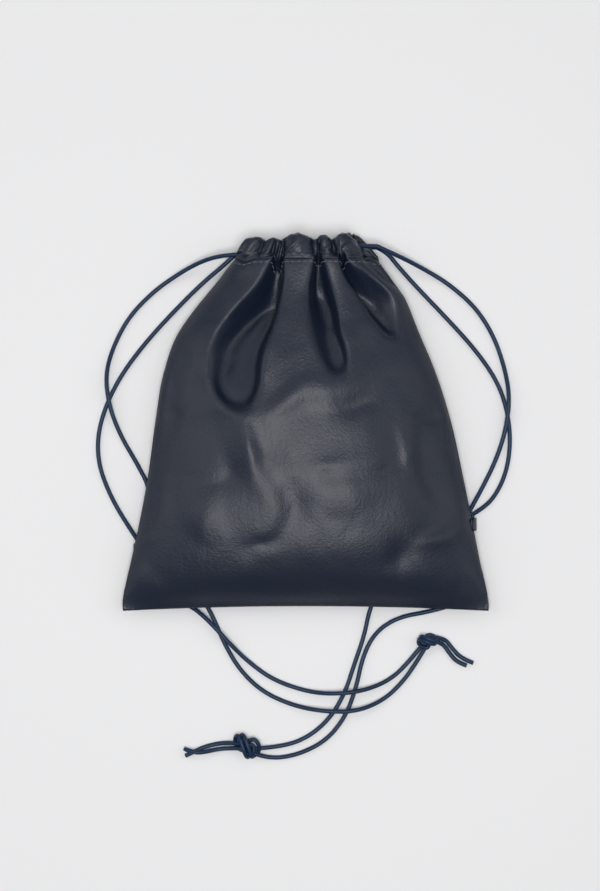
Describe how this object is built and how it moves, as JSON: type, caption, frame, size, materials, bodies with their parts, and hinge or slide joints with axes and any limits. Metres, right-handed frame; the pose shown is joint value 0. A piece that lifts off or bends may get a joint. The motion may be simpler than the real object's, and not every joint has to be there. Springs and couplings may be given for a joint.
{
  "type": "drawstring backpack",
  "caption": "Small drawstring backpack in soft dark leather: a gathered mouth whose leather cords form the shoulder straps, run through side tabs and end in knots.",
  "frame": {"origin": "on the surface the bag lies on, under the middle of the bag's box without its free cords", "axes": "+Y towards the mouth, +X to the right as the front panel is seen, +Z away from the surface, out of the front panel"},
  "size_m": [0.26, 0.3288, 0.0371],
  "materials": {
    "bag_leather": "soft smooth-grained leather with a satin sheen",
    "cord_leather": "round leather cord, slightly glossy",
    "thread": "waxed sewing thread"
  },
  "bodies": {
    "bag": {"front_panel": "bag_leather", "back_panel": "bag_leather", "front_channel": "bag_leather", "back_channel": "bag_leather", "left_tab": "bag_leather", "right_tab": "bag_leather", "front_channel_stitching": "thread", "back_channel_stitching": "thread", "left_side_seam_stitching": "thread", "right_side_seam_stitching": "thread", "bottom_seam_stitching": "thread", "left_tab_stitching": "thread", "right_tab_stitching": "thread", "left_cord_in_channel": "cord_leather", "right_cord_in_channel": "cord_leather", "left_cord_in_tab_outer": "cord_leather", "left_cord_in_tab_inner": "cord_leather", "right_cord_in_tab_outer": "cord_leather", "right_cord_in_tab_inner": "cord_leather"},
    "left_strap": {"left_strap_front_strand": "cord_leather", "left_strap_back_strand": "cord_leather"},
    "right_strap": {"right_strap_front_strand": "cord_leather", "right_strap_back_strand": "cord_leather"},
    "left_tail": {"left_tail_outer_strand": "cord_leather", "left_tail_inner_strand": "cord_leather", "left_tail_knot": "cord_leather", "left_tail_upper_tip": "cord_leather", "left_tail_lower_tip": "cord_leather"},
    "right_tail": {"right_tail_outer_strand": "cord_leather", "right_tail_inner_strand": "cord_leather", "right_tail_knot": "cord_leather", "right_tail_upper_tip": "cord_leather", "right_tail_lower_tip": "cord_leather"}
  },
  "joints": [
    {"name": "left_strap_swing", "type": "hinge", "parent": "bag", "child": "left_strap", "pos_m": [-0.0449, 0.1032, 0.0052], "axis": [-0.3068, -0.9516, -0.015], "range_deg": [0, 90]},
    {"name": "right_strap_swing", "type": "hinge", "parent": "bag", "child": "right_strap", "pos_m": [0.044, 0.1085, 0.0052], "axis": [-0.324, 0.9459, 0.0159], "range_deg": [0, 90]},
    {"name": "left_tail_swing", "type": "hinge", "parent": "bag", "child": "left_tail", "pos_m": [-0.10345, -0.0861, 0.0024], "axis": [0.997, 0.0775, 0], "range_deg": [0, 90]},
    {"name": "right_tail_swing", "type": "hinge", "parent": "bag", "child": "right_tail", "pos_m": [0.1024, -0.0701, 0.0024], "axis": [0.997, 0.0775, 0], "range_deg": [0, 90]}
  ],
  "couplings": [
    {"joint": "right_tail_swing", "follows": "left_tail_swing", "ratio": 1}
  ]
}
